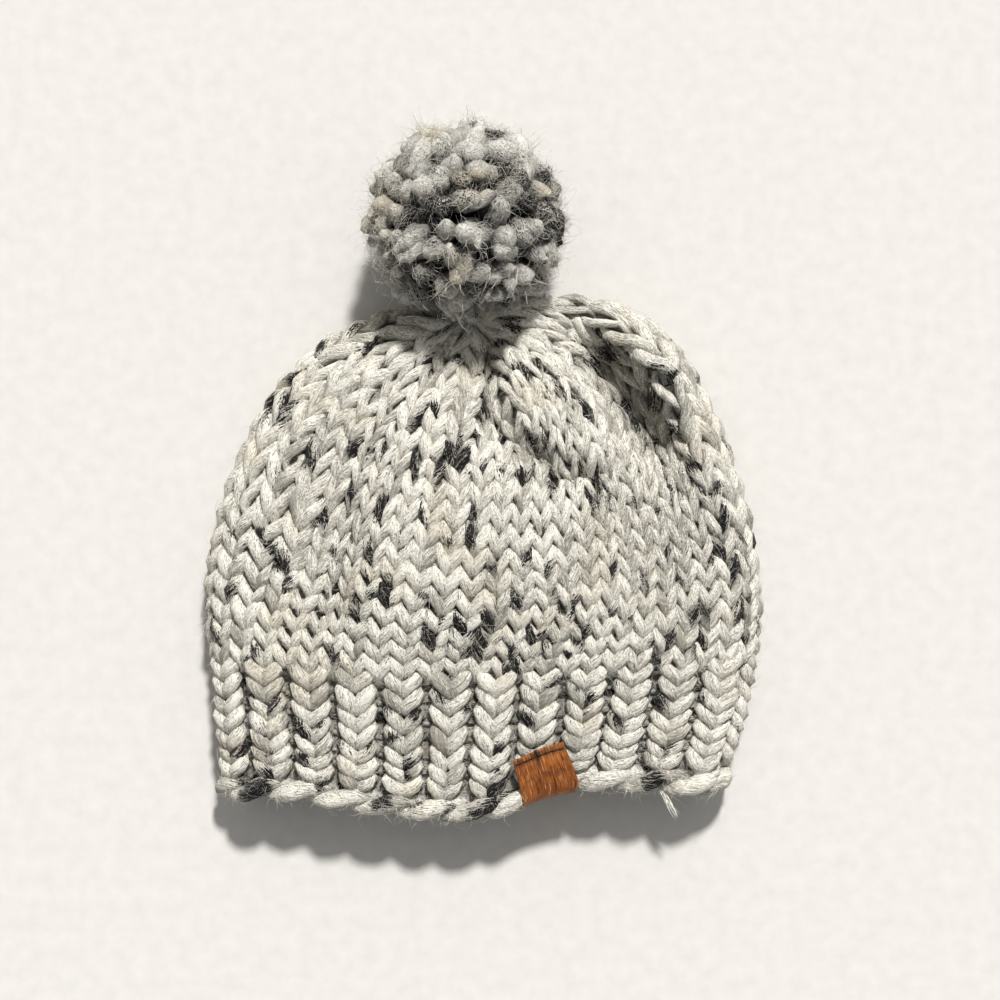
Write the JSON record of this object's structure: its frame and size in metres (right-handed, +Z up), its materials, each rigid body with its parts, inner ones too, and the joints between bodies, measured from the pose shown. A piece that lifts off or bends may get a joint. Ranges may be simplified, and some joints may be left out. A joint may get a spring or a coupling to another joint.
{
  "type": "knit toque",
  "caption": "Chunky knitted toque lying flat, with a domed crown, ribbed band, twisted cast-on edge, pompom and a folded leather tag.",
  "frame": {"origin": "on the surface that the toque lies on, under the middle of its overall box", "axes": "+Y from the hem to the pompom, +Z up from the surface, +X to the right of the visible front"},
  "size_m": [0.2392, 0.2946, 0.0807],
  "materials": {
    "body_yarn": "thick single-ply wool-blend yarn, ivory with charcoal flecks",
    "band_yarn": "the same yarn in 1x1 rib",
    "edge_yarn": "the same yarn, twisted along the hem",
    "pompom_yarn": "cut and fluffed yarn ends, ivory and charcoal",
    "tag_leather": "glossy waxed brown leather, creased, bare of lettering"
  },
  "bodies": {
    "root": {"crown": "body_yarn", "ribbed_band": "band_yarn", "cast_on_edge": "edge_yarn", "pompom": "pompom_yarn", "leather_tag": "tag_leather"}
  },
  "joints": []
}
